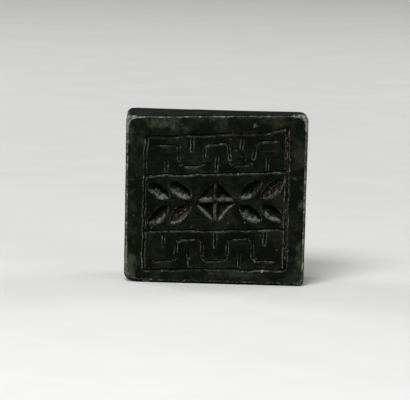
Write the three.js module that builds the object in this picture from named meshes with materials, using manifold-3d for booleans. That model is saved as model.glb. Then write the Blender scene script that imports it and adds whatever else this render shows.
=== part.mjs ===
// Seal stamp cut from one block of dark green stone.
// It lies on one side, with its printing face to the front.
// Sizes are in millimetres. +X is right, +Y runs from the printing face to the back, +Z is up.
import * as THREE from 'three';
import { mergeVertices } from 'three/examples/jsm/utils/BufferGeometryUtils.js';
import Module from 'manifold-3d';

const wasm = await Module();
wasm.setup();

// Base of the seal, measured on the printing face
const base_width = 30;
const left_height = 27.9;
const right_height = 28.9;
const left_lean = 0.4;
const base_depth = 13;
const rear_drop_left = -0.15;
const rear_drop_right = 0.85;

// Worn rim round the printing face, and the softer edge behind
const rim_top = 0.35;
const rim_side = 0.45;
const rim_bottom = 0.7;
const rim_depth = 0.6;
const rear_rim = 0.4;
const rim_steps = 2;

// Rounding of the four corners
const corner_top_left = 1.0;
const corner_top_right = 1.2;
const corner_bottom_left = 1.3;
const corner_bottom_right = 0.6;
const corner_steps = 4;
// The bottom left corner is worn away along the bottom edge, less and less towards the back
const worn_corner_run = 4.2;
const worn_corner_depth = 4.5;

// Shoulders and bridge knob on the back
const shoulder_rise = 2;
const shoulder_inset = 6;
const knob_thickness = 9;
const knob_span = 15;
const knob_rise = 10;
const knob_crown = 5;
const cord_width = 7.5;
const cord_rise = 6;
const knob_edge = 0.9;
const knob_edge_steps = 2;
const arch_steps = 14;

// Straight cuts of the graver
const groove_width = 0.48;
const groove_depth = 0.32;
const groove_taper = 0.5;
const right_groove_width = 0.75;
const overshoot = 0.45;
const hand_wobble = 0.07;
const wobble_steps = [2.4, 3.9];
// No taper or slanting corner cut takes more than this share of its stroke
const end_share = 0.4;
const clear_of_face = 0.3;

// Plain border line, set in from the edges of the base
const border_left = 3.0;
const border_right_top = 3.4;
const border_right_bottom = 3.2;
const border_top_left = 3.5;
const border_top_right = 3.0;
const border_kick = 0.6;
const border_kick_length = 3.7;
const border_bottom_left = 2.15;
const border_bottom_right = 2.85;

// Battlement fret above and below the middle band: a running line with a short cut in each bay
const band_height = 9.5;
const fret_gap = 1.4;
const fret_bays = 5;
const fret_chamfer = 0.7;
const fret_tongue = 2.6;
const fret_tongue_root = 0.35;

// Slanted leaf cuts in the middle band
const leaf_length = 4.7;
const leaf_width = 2.2;
const leaf_depth = 0.85;
const leaf_slant = 40;
const leaf_pitch = 3.55;
const leaf_start = 4.1;
const leaf_off_axis = 0.5;
const leaves_per_row = 2;
const leaf_keel_lift = 0.28;
// Ends of the keel, as shares of half the length
const leaf_keel = [-0.35, 0.4];
// How pointed the ends are, from 0 for an oval to 1, and how far the broadest place is off middle
const leaf_point = 0.5;
const leaf_skew = 0.12;
const leaf_steps = 16;

// Four deep chips that make a diamond in the middle
const diamond_reach = 3.6;
const diamond_ridge = 0.35;
const chip_depth = 1.15;
const scoop_bulge = 0.14;

// Dried paste left in the cuts
const paste_clearance = 0.05;
const paste_groove_fill = 0.18;
const paste_scoop_fill = 0.42;
const paste_end = 1.6;
const paste_break = 1.2;
const paste_run = 5;

const stone = new THREE.MeshStandardMaterial({ color: 0x1f2b21, roughness: 0.45, metalness: 0 });
const paste = new THREE.MeshStandardMaterial({ color: 0x5a3a32, roughness: 0.95, metalness: 0 });

const weld = 1e-4;

// Solids from points and faces

function closedGeometry(points, faces) {
  const flat = new THREE.BufferGeometry();
  flat.setAttribute('position', new THREE.Float32BufferAttribute(points.flat(), 3));
  flat.setIndex(faces.flat());
  const merged = mergeVertices(flat, weld);
  const index = merged.index.array;
  // Faces that fold back to back, as on the floor of a narrow cut, cancel out
  const kept = new Map();
  for (let i = 0; i < index.length; i += 3) {
    const face = [index[i], index[i + 1], index[i + 2]];
    if (new Set(face).size === 3) {
      const key = [...face].sort((a, b) => a - b).join();
      if (!kept.delete(key)) {
        kept.set(key, face);
      }
    }
  }
  merged.setIndex([...kept.values()].flat());
  return merged;
}

function toSolid(geometry) {
  return new wasm.Manifold(new wasm.Mesh({
    numProp: 3,
    vertProperties: new Float32Array(geometry.attributes.position.array),
    triVerts: new Uint32Array(geometry.index.array),
  }));
}

function toGeometry(solid) {
  const mesh = solid.getMesh();
  const geometry = new THREE.BufferGeometry();
  geometry.setAttribute('position', new THREE.Float32BufferAttribute(mesh.vertProperties, 3));
  geometry.setIndex(new THREE.Uint32BufferAttribute(mesh.triVerts, 1));
  geometry.computeVertexNormals();
  return geometry;
}

// Rings run anticlockwise as seen from the front, the front ring first.
function loft(rings) {
  const count = rings[0].length;
  const faces = [];
  for (let k = 0; k + 1 < rings.length; k += 1) {
    for (let i = 0; i < count; i += 1) {
      const j = (i + 1) % count;
      const near = k * count;
      const far = near + count;
      faces.push([near + i, far + j, near + j]);
      faces.push([near + i, far + i, far + j]);
    }
  }
  const last = (rings.length - 1) * count;
  for (let i = 1; i + 1 < count; i += 1) {
    faces.push([0, i, i + 1]);
    faces.push([last, last + i + 1, last + i]);
  }
  return toSolid(closedGeometry(rings.flat(), faces));
}

// The base: a hand-cut, slightly uneven square with worn rims

const depthShare = (depth, full) => Math.min(depth / full, 1);

function baseCorners(depth, inset) {
  const side = rim_side * inset.side;
  const back = depthShare(depth, base_depth);
  const left_top = left_height - rear_drop_left * back - inset.top;
  const right_top = right_height - rear_drop_right * back - inset.top;
  const worn = 1 - depthShare(depth, worn_corner_depth);
  const bottom_run = corner_bottom_left + (worn_corner_run - corner_bottom_left) * worn;
  const even = (radius) => ({ before: radius, after: radius });
  return [
    {
      at: [-base_width / 2 + side, inset.bottom],
      round: { before: corner_bottom_left, after: bottom_run },
    },
    { at: [base_width / 2 - side, inset.bottom], round: even(corner_bottom_right) },
    { at: [base_width / 2 - side, right_top], round: even(corner_top_right) },
    { at: [-base_width / 2 - left_lean + side, left_top], round: even(corner_top_left) },
  ];
}

function roundedRing(corners, depth) {
  const ring = [];
  corners.forEach((corner, k) => {
    const here = new THREE.Vector2(...corner.at);
    const before = new THREE.Vector2(...corners[(k + 3) % 4].at);
    const after = new THREE.Vector2(...corners[(k + 1) % 4].at);
    const start = here.clone().add(before.sub(here).setLength(corner.round.before));
    const end = here.clone().add(after.sub(here).setLength(corner.round.after));
    const bend = new THREE.QuadraticBezierCurve(start, here, end);
    bend.getPoints(corner_steps).forEach((p) => ring.push([p.x, depth, p.y]));
  });
  return ring;
}

function baseRing(depth, worn) {
  const inset = { side: worn, top: rim_top * worn, bottom: rim_bottom * worn };
  return roundedRing(baseCorners(depth, inset), depth);
}

function backRing(depth, inset) {
  const all = { side: inset / rim_side, top: inset, bottom: inset };
  return roundedRing(baseCorners(depth, all), depth);
}

function buildBase() {
  const rings = [];
  for (let k = 0; k <= rim_steps; k += 1) {
    const turn = (k / rim_steps) * Math.PI / 2;
    rings.push(baseRing(rim_depth * (1 - Math.cos(turn)), 1 - Math.sin(turn)));
  }
  rings.push(backRing(worn_corner_depth, 0));
  rings.push(backRing(base_depth - rear_rim, 0));
  rings.push(backRing(base_depth, rear_rim));
  rings.push(backRing(base_depth + shoulder_rise, shoulder_inset));
  return loft(rings);
}

// The knob: a bridge over the cord opening, which runs from left to right

function archPoints(half_span, straight, rise) {
  const points = [];
  for (let i = 0; i <= arch_steps; i += 1) {
    const turn = (i / arch_steps) * Math.PI;
    points.push([half_span * Math.cos(turn), straight + (rise - straight) * Math.sin(turn)]);
  }
  return points;
}

function buildKnob() {
  const outer = archPoints(knob_span / 2, knob_rise - knob_crown, knob_rise);
  const inner = archPoints(cord_width / 2, cord_rise - cord_width / 2, cord_rise);
  const outline = new THREE.Shape();
  outline.moveTo(knob_span / 2, -shoulder_rise);
  outer.forEach(([across, up]) => outline.lineTo(across, up));
  outline.lineTo(-knob_span / 2, -shoulder_rise);
  outline.lineTo(-cord_width / 2, -shoulder_rise);
  inner.reverse().forEach(([across, up]) => outline.lineTo(across, up));
  outline.lineTo(cord_width / 2, -shoulder_rise);
  const block = new THREE.ExtrudeGeometry(outline, {
    depth: knob_thickness - 2 * knob_edge,
    steps: 1,
    bevelEnabled: true,
    bevelSize: knob_edge,
    bevelThickness: knob_edge,
    bevelOffset: -knob_edge,
    bevelSegments: knob_edge_steps,
  });
  const left_rear = left_height - rear_drop_left;
  const right_rear = right_height - rear_drop_right;
  const middle = (left_rear + right_rear) / 4;
  const place = new THREE.Matrix4().makeBasis(
    new THREE.Vector3(0, 0, 1), new THREE.Vector3(0, 1, 0), new THREE.Vector3(-1, 0, 0),
  );
  place.setPosition(knob_thickness / 2 - knob_edge, base_depth + shoulder_rise, middle);
  block.applyMatrix4(place);
  block.deleteAttribute('normal');
  block.deleteAttribute('uv');
  return toSolid(mergeVertices(block, weld));
}

// Cuts. A recess has an outline on the face, a keel below it, a depth and a rounded floor.

function widthShare(recess, depth) {
  const half = recess.depth / 2;
  const middle = 0.5 + recess.bulge;
  if (depth < half) {
    return 1 - (depth / half) * (1 - middle);
  }
  return middle * (recess.depth - depth) / half;
}

function recessRing(recess, depth, shift) {
  const share = widthShare(recess, depth);
  return recess.outline.map(([x, z], i) => {
    const [keel_x, keel_z] = recess.keel[i];
    return [keel_x + (x - keel_x) * share, depth - shift, keel_z + (z - keel_z) * share];
  });
}

function recessSolid(recess, from, shift) {
  const levels = [from, recess.depth / 2, recess.depth].filter((d, i) => i !== 1 || d > from);
  return loft(levels.map((depth) => recessRing(recess, depth, shift)));
}

const cutter = (recess) => recessSolid(recess, -clear_of_face, 0);

function pasteIn(recess, fill) {
  return recessSolid(recess, recess.depth - fill, paste_clearance);
}

function stroke(start, end, width) {
  const a = new THREE.Vector2(...start);
  const b = new THREE.Vector2(...end);
  const along = b.clone().sub(a);
  const taper = Math.min(groove_taper, along.length() * end_share);
  along.normalize();
  const across = new THREE.Vector2(-along.y, along.x).multiplyScalar(width / 2);
  const near = a.clone().addScaledVector(along, taper);
  const far = b.clone().addScaledVector(along, -taper);
  const outline = [
    a, near.clone().sub(across), far.clone().sub(across),
    b, far.clone().add(across), near.clone().add(across),
  ];
  const keel = [near, near, far, far, far, near];
  return {
    outline: outline.map((p) => [p.x, p.y]),
    keel: keel.map((p) => [p.x, p.y]),
    depth: groove_depth,
    bulge: 0,
  };
}

// A shorter stroke along the same line, for paste that fills only some of it
function partOfStroke(start, end, from, to, width) {
  const a = new THREE.Vector2(...start);
  const b = new THREE.Vector2(...end);
  const length = b.clone().sub(a).length();
  const first = a.clone().lerp(b, from / length);
  const last = a.clone().lerp(b, to / length);
  return stroke([first.x, first.y], [last.x, last.y], width);
}

// The border line

const border = {
  bottom_left: [-base_width / 2 + border_left, border_bottom_left],
  bottom_right: [base_width / 2 - border_right_bottom, border_bottom_right],
  top_right: [base_width / 2 - border_right_top, right_height - border_top_right],
  top_left: [-base_width / 2 + border_left, left_height - border_top_left],
};

function lengthened([ax, az], [bx, bz], by) {
  const length = Math.hypot(bx - ax, bz - az);
  const dx = (bx - ax) / length * by;
  const dz = (bz - az) / length * by;
  return [[ax - dx, az - dz], [bx + dx, bz + dz]];
}

// The top line kicks up over its last stretch, where the graver ran on.
const top_slope = (border.top_right[1] - border.top_left[1])
  / (border.top_right[0] - border.top_left[0]);
const kick_from = [
  border.top_right[0] - border_kick_length,
  border.top_right[1] - border_kick_length * top_slope,
];
const kick_to = [border.top_right[0], border.top_right[1] + border_kick];

const border_lines = {
  bottom: lengthened(border.bottom_left, border.bottom_right, overshoot),
  right: lengthened(border.bottom_right, kick_to, overshoot),
  top: lengthened(border.top_left, kick_from, overshoot),
  kick: lengthened(kick_from, kick_to, overshoot),
  left: lengthened(border.bottom_left, border.top_left, overshoot),
};

// The ornament is laid out from the middle of the border and follows its slants.

const field_width = border.bottom_right[0] - border.bottom_left[0];
const left_side = border.top_left[1] - border.bottom_left[1];
const right_side = border.top_right[1] - border.bottom_right[1];
const field_height = (left_side + right_side) / 2;

function onFace(across, up) {
  const u = across / field_width + 0.5;
  const v = up / field_height + 0.5;
  const low = border.bottom_left[1] + (border.bottom_right[1] - border.bottom_left[1]) * u;
  const high = border.top_left[1] + (border.top_right[1] - border.top_left[1]) * u;
  return [border.bottom_left[0] + field_width * u, low + (high - low) * v];
}

let hand = 0;
function byHand([x, z]) {
  hand += 1;
  const [dx, dz] = wobble_steps.map((step) => hand_wobble * Math.sin(hand * step));
  return [x + dx, z + dz];
}

// The cuts along a path, with a short slanting cut at each corner
function pathStrokes(path) {
  const strokes = [];
  let from = path[0];
  for (let i = 1; i < path.length; i += 1) {
    const corner = path[i];
    if (i === path.length - 1) {
      strokes.push([from, corner]);
      break;
    }
    const back = from.clone().sub(corner);
    const ahead = path[i + 1].clone().sub(corner);
    const into = corner.clone().add(back.setLength(Math.min(fret_chamfer, back.length() * end_share)));
    const out = corner.clone().add(ahead.setLength(Math.min(fret_chamfer, ahead.length() * end_share)));
    strokes.push([from, into], [into, out]);
    from = out;
  }
  return strokes;
}

// A register of the fret: the line steps up and down, and each bay holds a tongue
function fretStrokes(level) {
  const outside = field_width / 2 - fret_gap;
  const bay = 2 * outside / fret_bays;
  const by_border = field_height / 2 - fret_gap;
  const by_band = band_height / 2 + fret_gap;
  const path = [];
  const tongues = [];
  for (let i = 0; i < fret_bays; i += 1) {
    const at = -outside + i * bay;
    const open_to_band = i % 2 === 0;
    const up = open_to_band ? by_border : by_band;
    path.push([at, up], [at + bay, up]);
    const root = open_to_band
      ? band_height / 2 + fret_tongue_root
      : field_height / 2 - fret_tongue_root;
    const tip = open_to_band ? root + fret_tongue : root - fret_tongue;
    tongues.push([[at + bay / 2, root], [at + bay / 2, tip]]);
  }
  const point = ([across, up]) => new THREE.Vector2(across, level * up);
  const strokes = [
    ...pathStrokes(path.map(point)),
    ...tongues.map(([root, tip]) => [point(root), point(tip)]),
  ];
  return strokes.map(([a, b]) => {
    const ends = lengthened(byHand(onFace(a.x, a.y)), byHand(onFace(b.x, b.y)), overshoot / 3);
    return stroke(ends[0], ends[1], groove_width);
  });
}

function bandLine(level) {
  const up = level * band_height / 2;
  const ends = lengthened(
    byHand(onFace(-field_width / 2, up)), byHand(onFace(field_width / 2, up)), overshoot / 2,
  );
  return stroke(ends[0], ends[1], groove_width);
}

// A leaf cut: steep above its keel, gentle below it
function leaf(side, level, place) {
  const slant = THREE.MathUtils.degToRad(leaf_slant);
  const root = leaf_start + place * leaf_pitch;
  const dir = new THREE.Vector2(side * Math.cos(slant), level * Math.sin(slant));
  const up = new THREE.Vector2(-dir.y, dir.x).multiplyScalar(side);
  const middle = new THREE.Vector2(side * root, level * leaf_off_axis)
    .addScaledVector(dir, leaf_length / 2);
  const half = leaf_length / 2;
  const at = (along, over) => {
    const p = middle.clone().addScaledVector(dir, side * along).addScaledVector(up, over);
    return onFace(p.x, p.y);
  };
  const wide = leaf_width / 2;
  const outline = [];
  const keel = [];
  for (let i = 0; i < leaf_steps; i += 1) {
    const turn = Math.PI + (i / leaf_steps) * 2 * Math.PI;
    const [along, over] = [Math.cos(turn), Math.sin(turn)];
    const skew = leaf_skew * over * Math.abs(over);
    outline.push(at(half * (along + skew), wide * over * Math.abs(over) ** leaf_point));
    keel.push(at(half * THREE.MathUtils.clamp(along, ...leaf_keel), wide * leaf_keel_lift));
  }
  return { outline, keel, depth: leaf_depth, bulge: scoop_bulge };
}

// One of four deep triangular chips that leave a crossed ridge between them
function chip(side, level) {
  const ridge = diamond_ridge / 2;
  const corners = [
    [ridge, ridge], [diamond_reach - ridge, ridge], [ridge, diamond_reach - ridge],
  ].map(([across, up]) => onFace(side * across, level * up));
  if (side * level < 0) {
    corners.reverse();
  }
  const sum = corners.reduce(([sx, sz], [x, z]) => [sx + x, sz + z], [0, 0]);
  const apex = [sum[0] / 3, sum[1] / 3];
  return { outline: corners, keel: [apex, apex, apex], depth: chip_depth, bulge: scoop_bulge };
}

const border_cuts = {
  bottom: stroke(...border_lines.bottom, groove_width),
  right: stroke(...border_lines.right, right_groove_width),
  top: stroke(...border_lines.top, groove_width),
  kick: stroke(...border_lines.kick, groove_width),
  left: stroke(...border_lines.left, groove_width),
};
const quarters = [[-1, -1], [1, -1], [-1, 1], [1, 1]];
const fret_cuts = [...fretStrokes(-1), ...fretStrokes(1)];
const band_cuts = [bandLine(-1), bandLine(1)];
const leaf_cuts = quarters.flatMap(([side, level]) => {
  const row = [];
  for (let place = 0; place < leaves_per_row; place += 1) {
    row.push(leaf(side, level, place));
  }
  return row;
});
const chip_cuts = quarters.map(([side, level]) => chip(side, level));

// The finished stone

let block = buildBase().add(buildKnob());
const cuts = [
  ...Object.values(border_cuts), ...band_cuts, ...fret_cuts, ...leaf_cuts, ...chip_cuts,
];
cuts.forEach((recess) => {
  block = block.subtract(cutter(recess));
});

// Where paste is left: most of the right border line, and a few of the other cuts

const lineLength = ([start, end]) => Math.hypot(end[0] - start[0], end[1] - start[1]);
const along = (line, from, to, width) => partOfStroke(...border_lines[line], from, to, width);
const right_length = lineLength(border_lines.right);
const bottom_length = lineLength(border_lines.bottom);
const top_length = lineLength(border_lines.top);
const paste_pieces = {
  paste_right_border_lower: pasteIn(
    along('right', paste_end, (right_length - paste_break) / 2, right_groove_width),
    paste_groove_fill),
  paste_right_border_upper: pasteIn(
    along('right', (right_length + paste_break) / 2, right_length - paste_end, right_groove_width),
    paste_groove_fill),
  paste_bottom_border: pasteIn(
    along('bottom', bottom_length - paste_end - paste_run, bottom_length - paste_end, groove_width),
    paste_groove_fill),
  paste_top_border: pasteIn(
    along('top', top_length - paste_end - paste_run, top_length - paste_end, groove_width),
    paste_groove_fill),
  paste_diamond_upper_left: pasteIn(chip_cuts[2], paste_scoop_fill),
  paste_diamond_lower_right: pasteIn(chip_cuts[1], paste_scoop_fill),
  paste_leaf_upper_right: pasteIn(leaf_cuts[leaf_cuts.length - 1], paste_scoop_fill),
  paste_leaf_lower_left: pasteIn(leaf_cuts[0], paste_scoop_fill),
};

const seal = new THREE.Group();
seal.name = 'seal_stamp';

function addPiece(name, solid, material) {
  const mesh = new THREE.Mesh(toGeometry(solid), material.clone());
  mesh.name = name;
  seal.add(mesh);
}

addPiece('seal_stone', block, stone);
Object.entries(paste_pieces).forEach(([name, solid]) => addPiece(name, solid, paste));

// Set the seal so that the middle of its footprint is the origin
const bounds = new THREE.Box3().setFromObject(seal);
const centre = bounds.getCenter(new THREE.Vector3());
seal.position.set(-centre.x, -centre.y, -bounds.min.z);

export default seal;
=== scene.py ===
"""Seal stamp of dark green stone: the carved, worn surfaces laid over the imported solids."""
import math

import bmesh
import bpy
import numpy as np
from bpy.props import FloatProperty, FloatVectorProperty, IntProperty, PointerProperty
from mathutils import Matrix, Vector
from mathutils.kdtree import KDTree


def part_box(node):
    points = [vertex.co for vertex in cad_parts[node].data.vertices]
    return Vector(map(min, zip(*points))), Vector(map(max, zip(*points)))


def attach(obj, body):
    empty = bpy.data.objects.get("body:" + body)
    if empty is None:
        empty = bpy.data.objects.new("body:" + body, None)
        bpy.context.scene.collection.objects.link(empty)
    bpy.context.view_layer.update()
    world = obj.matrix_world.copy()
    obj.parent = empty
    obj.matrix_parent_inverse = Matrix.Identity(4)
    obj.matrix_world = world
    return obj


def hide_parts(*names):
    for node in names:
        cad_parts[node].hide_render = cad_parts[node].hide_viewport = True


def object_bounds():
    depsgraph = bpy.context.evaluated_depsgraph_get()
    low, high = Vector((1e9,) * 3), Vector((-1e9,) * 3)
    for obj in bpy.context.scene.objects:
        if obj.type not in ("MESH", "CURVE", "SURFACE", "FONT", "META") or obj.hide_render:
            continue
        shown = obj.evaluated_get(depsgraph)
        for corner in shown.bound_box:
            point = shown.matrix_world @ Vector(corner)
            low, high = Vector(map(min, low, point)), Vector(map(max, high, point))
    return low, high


bl_info = {
    "name": "Carved stone seal",
    "version": (1, 0, 0),
    "blender": (4, 5, 0),
    "location": "3D View > Sidebar > Seal",
    "description": "Builds the worn stone, the dried paste and the table of a seal stamp",
    "category": "Object",
}

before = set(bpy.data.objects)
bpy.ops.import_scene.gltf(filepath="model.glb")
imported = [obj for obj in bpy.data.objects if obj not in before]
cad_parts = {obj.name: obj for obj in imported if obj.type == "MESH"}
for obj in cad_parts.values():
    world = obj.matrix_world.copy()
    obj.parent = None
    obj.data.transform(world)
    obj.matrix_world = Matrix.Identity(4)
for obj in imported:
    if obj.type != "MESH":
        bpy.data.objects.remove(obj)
CAD_LOW, CAD_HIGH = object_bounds()
MM = 0.001
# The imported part's bounds, and the plane of its printing face, in millimetres
LOW = np.array(CAD_LOW) / MM
HIGH = np.array(CAD_HIGH) / MM
FACE_Y = CAD_LOW.y / MM
PASTE_NODES = sorted(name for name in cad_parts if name.startswith("paste_"))


class SealSettings(bpy.types.PropertyGroup):
    """Sizes and colours of the seal's finish."""

    stone_detail: FloatProperty(
        name="Stone detail",
        description="Spacing of the points on the carved stone, in millimetres",
        default=0.12, min=0.08, max=0.4,
    )
    stone_faces: IntProperty(
        name="Stone triangles", description="Most triangles that the carved stone may have",
        default=190000, min=20000, max=199000,
    )
    edge_loss: FloatProperty(
        name="Edge wear", description="Stone lost from the outer edges, in millimetres",
        default=0.16, min=0.0, max=0.5,
    )
    chip_loss: FloatProperty(
        name="Chips", description="Deepest chip knocked from an outer edge, in millimetres",
        default=0.45, min=0.0, max=1.0,
    )
    unevenness: FloatProperty(
        name="Hand finish", description="Unevenness of the rubbed-down sides, in millimetres",
        default=0.05, min=0.0, max=0.3,
    )
    cut_roughness: FloatProperty(
        name="Cut floor", description="Roughness that the graver left in the cuts, in millimetres",
        default=0.07, min=0.0, max=0.2,
    )
    paste_detail: FloatProperty(
        name="Paste detail", description="Spacing of the points on the dried paste, in millimetres",
        default=0.045, min=0.03, max=0.1,
    )
    dark_stone: FloatVectorProperty(
        name="Dark stone", description="The dark green ground of the stone", subtype="COLOR",
        default=(0.0034, 0.0048, 0.0025),
    )
    light_stone: FloatVectorProperty(
        name="Cloudy stone",
        description="The lighter grey-green clouds in the stone", subtype="COLOR",
        default=(0.0185, 0.0225, 0.0140),
    )
    teal_stone: FloatVectorProperty(
        name="Teal patches", description="The blue-green patches in the stone", subtype="COLOR",
        default=(0.0040, 0.0165, 0.0110),
    )
    frosted_stone: FloatVectorProperty(
        name="Frosted patches",
        description="The paler blue-grey patches in the stone", subtype="COLOR",
        default=(0.023, 0.035, 0.028),
    )
    brown_stone: FloatVectorProperty(
        name="Brown shadows", description="The brown-black areas of the stone", subtype="COLOR",
        default=(0.0070, 0.0058, 0.0040),
    )
    olive_stone: FloatVectorProperty(
        name="Olive clouds",
        description="The yellow-green of the stone near its edges", subtype="COLOR",
        default=(0.052, 0.058, 0.038),
    )
    leaf_green_stone: FloatVectorProperty(
        name="Leaf green cloud",
        description="The soft green cloud near one corner", subtype="COLOR",
        default=(0.040, 0.056, 0.033),
    )
    deep_stone: FloatVectorProperty(
        name="Polished sides", description="The deeper green of the clean sides", subtype="COLOR",
        default=(0.0065, 0.0125, 0.0070),
    )
    # Also the colour of the painted highlights on edges, lips and upward cut walls
    bruised_stone_and_highlight: FloatVectorProperty(
        name="Bruised stone",
        description="The pale crushed stone of edges and cuts", subtype="COLOR",
        default=(0.33, 0.35, 0.29),
    )
    stained_stone: FloatVectorProperty(
        name="Stained stone",
        description="Crushed stone that the paste has tinted", subtype="COLOR",
        default=(0.26, 0.205, 0.18),
    )
    iron_stain: FloatVectorProperty(
        name="Iron stain", description="The rusty yellow spot near one corner", subtype="COLOR",
        default=(0.062, 0.046, 0.018),
    )
    paste_colour: FloatVectorProperty(
        name="Dried paste", description="The brown-red of old seal paste", subtype="COLOR",
        default=(0.024, 0.0165, 0.0140),
    )
    table_colour: FloatVectorProperty(
        name="Table", description="The pale table and backdrop", subtype="COLOR",
        default=(0.80, 0.80, 0.79),
    )
    camera_elevation: FloatProperty(
        name="Camera height", description="Angle of the camera above the table",
        default=math.radians(7.0), subtype="ANGLE",
    )
    camera_roll: FloatProperty(
        name="Camera roll", description="Tilt of the camera about its own axis",
        default=math.radians(1.6), subtype="ANGLE",
    )
    camera_distance: FloatProperty(
        name="Camera distance", description="Distance from the camera to the printing face",
        default=0.65, subtype="DISTANCE", unit="LENGTH",
    )


# Numbers that vary over the stone

# Large factors that scatter neighbouring cells and seeds over 32 bits
CELL_FACTORS = (374761393, 668265263, 2246822519)
SEED_FACTOR, SEED_START = 974634777, 12345
MIXING = ((13, 1274126177), (15, 2654435761))
LOW_BITS = np.uint64(0xFFFFFFFF)
# Keeps every cell number above 0, and sets the octaves apart
PLACE_START, OCTAVE_SHIFT, OCTAVE_SEED = 1000.0, 17.3, 31
# Brings the averaged values back to nearly the whole range from -1 to 1
GRAIN_GAIN = 1.5


def lattice(cell, seed):
    """A fixed pseudo-random value from -1 to 1 for each whole-number cell."""
    h = np.uint64(seed * SEED_FACTOR + SEED_START)
    for axis, factor in enumerate(CELL_FACTORS):
        h = h + cell[..., axis].astype(np.uint64) * np.uint64(factor)
    h &= LOW_BITS
    for shift, factor in MIXING:
        h = ((h ^ (h >> np.uint64(shift))) * np.uint64(factor)) & LOW_BITS
    return (h >> np.uint64(8)).astype(np.float64) / float(1 << 23) - 1.0


def grain(points, size, seed, octaves=1):
    """Smooth noise from about -1 to 1, with features of the given size in millimetres."""
    total = np.zeros(len(points))
    weight, weights = 1.0, 0.0
    for octave in range(octaves):
        place = points / size + PLACE_START + OCTAVE_SHIFT * octave
        cell = np.floor(place).astype(np.int64)
        part = place - cell
        part = part * part * (3 - 2 * part)
        value = np.zeros(len(points))
        for corner in range(8):
            step = np.array([corner & 1, corner >> 1 & 1, corner >> 2 & 1])
            share = np.prod(np.where(step, part, 1 - part), axis=1)
            value += share * lattice(cell + step, seed + OCTAVE_SEED * octave)
        total += weight * value
        weights += weight
        weight *= 0.5
        size *= 0.5
    return total / weights * GRAIN_GAIN


def between(values, low, high):
    """0 below low, 1 above high, and a smooth step from one to the other."""
    share = np.clip((values - low) / (high - low), 0.0, 1.0)
    return share * share * (3 - 2 * share)


# Meshes as arrays

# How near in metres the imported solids' points are welded, and the fewest points of a sound copy
WELD_REACH = 1e-7
LEAST_PIECE_POINTS = 50


def read_points(mesh):
    """The points of a mesh in millimetres, one row each."""
    points = np.empty(len(mesh.vertices) * 3)
    mesh.vertices.foreach_get("co", points)
    return points.reshape(-1, 3) / MM


def write_points(mesh, points):
    """Moves the points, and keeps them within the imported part's bounds."""
    mesh.vertices.foreach_set("co", (np.clip(points, LOW, HIGH) * MM).ravel())
    mesh.update()


def read_normals(mesh):
    normals = np.empty(len(mesh.vertices) * 3)
    mesh.vertex_normals.foreach_get("vector", normals)
    return normals.reshape(-1, 3)


def write_mask(mesh, name, values):
    layer = mesh.attributes.get(name) or mesh.attributes.new(name, "FLOAT", "POINT")
    layer.data.foreach_set("value", np.clip(values, 0.0, 1.0).astype(np.float32))


class Neighbours:
    """Averages values over the points that share an edge."""

    def __init__(self, mesh):
        ends = np.empty(len(mesh.edges) * 2, dtype=np.int32)
        mesh.edges.foreach_get("vertices", ends)
        self.here = np.concatenate([ends[0::2], ends[1::2]])
        self.there = np.concatenate([ends[1::2], ends[0::2]])
        self.size = len(mesh.vertices)
        self.count = np.maximum(np.bincount(self.here, minlength=self.size), 1)

    def smooth(self, values, rounds):
        flat = values.reshape(self.size, -1)
        for _ in range(rounds):
            around = np.stack([
                np.bincount(self.here, weights=flat[self.there, k], minlength=self.size)
                for k in range(flat.shape[1])
            ], axis=1) / self.count[:, None]
            flat = 0.5 * flat + 0.5 * around
        return flat.reshape(values.shape)


def changed_by(mesh, kind, chosen=None, **settings):
    """The mesh after one modifier, which may be held to some chosen points."""
    holder = bpy.data.objects.new("holder", mesh)
    bpy.context.scene.collection.objects.link(holder)
    modifier = holder.modifiers.new(kind.lower(), kind)
    for key, value in settings.items():
        setattr(modifier, key, value)
    if chosen is not None:
        group = holder.vertex_groups.new(name="chosen")
        group.add(np.flatnonzero(chosen).tolist(), 1.0, "REPLACE")
        modifier.vertex_group = group.name
    shown = holder.evaluated_get(bpy.context.evaluated_depsgraph_get())
    made = bpy.data.meshes.new_from_object(shown)
    bpy.data.objects.remove(holder)
    return made


def even_copy(node, spacing):
    """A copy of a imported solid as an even, closed mesh of small faces."""
    work = bmesh.new()
    work.from_mesh(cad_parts[node].data)
    bmesh.ops.remove_doubles(work, verts=work.verts, dist=WELD_REACH)
    welded = bpy.data.meshes.new(node + "_welded")
    work.to_mesh(welded)
    work.free()
    made = changed_by(welded, "REMESH", mode="VOXEL", voxel_size=spacing * MM)
    if len(made.vertices) < LEAST_PIECE_POINTS:
        raise RuntimeError(f"the copy of {node} came out empty")
    return made


def add_piece(name, mesh, material, node):
    """One finished piece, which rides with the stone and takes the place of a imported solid."""
    mesh.name = name
    piece = bpy.data.objects.new(name, mesh)
    bpy.context.scene.collection.objects.link(piece)
    mesh.materials.clear()
    mesh.materials.append(material)
    for polygon in mesh.polygons:
        polygon.use_smooth = True
    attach(piece, "root")
    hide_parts(node)
    return piece


# The carved stone

# The larger knocks on the edges of the printing face: place along the edge and reach, in mm
TOP_KNOCKS = (
    (-12.6, 0.9), (-9.2, 0.9), (-5.0, 0.6), (-2.8, 0.3), (1.0, 0.4), (8.6, 0.3), (13.4, 0.8),
)
LEFT_KNOCKS = ((25.6, 0.9), (19.6, 0.5), (14.7, 0.3), (9.9, 0.3))
RIGHT_KNOCKS = ((26.6, 1.0), (17.6, 0.5), (12.5, 0.3), (7.6, 0.6), (3.4, 0.9))
BOTTOM_KNOCKS = ((-13.0, 0.6), (-11.0, 0.6), (-5.0, 0.5), (5.4, 0.3), (13.8, 0.5))
# The larger scuffs on the printing face: across and up, reach in millimetres, and how pale
FACE_SCUFFS = (
    (6.3, 26.9, 0.5, 0.40), (12.3, 19.4, 0.3, 0.35), (13.4, 18.2, 0.4, 0.30),
    (3.8, 18.6, 0.3, 0.40), (10.6, 6.1, 0.4, 0.30), (-13.6, 11.1, 0.3, 0.35),
    (-6.0, 14.0, 0.2, 0.30), (8.2, 2.4, 0.3, 0.90),
)
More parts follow.
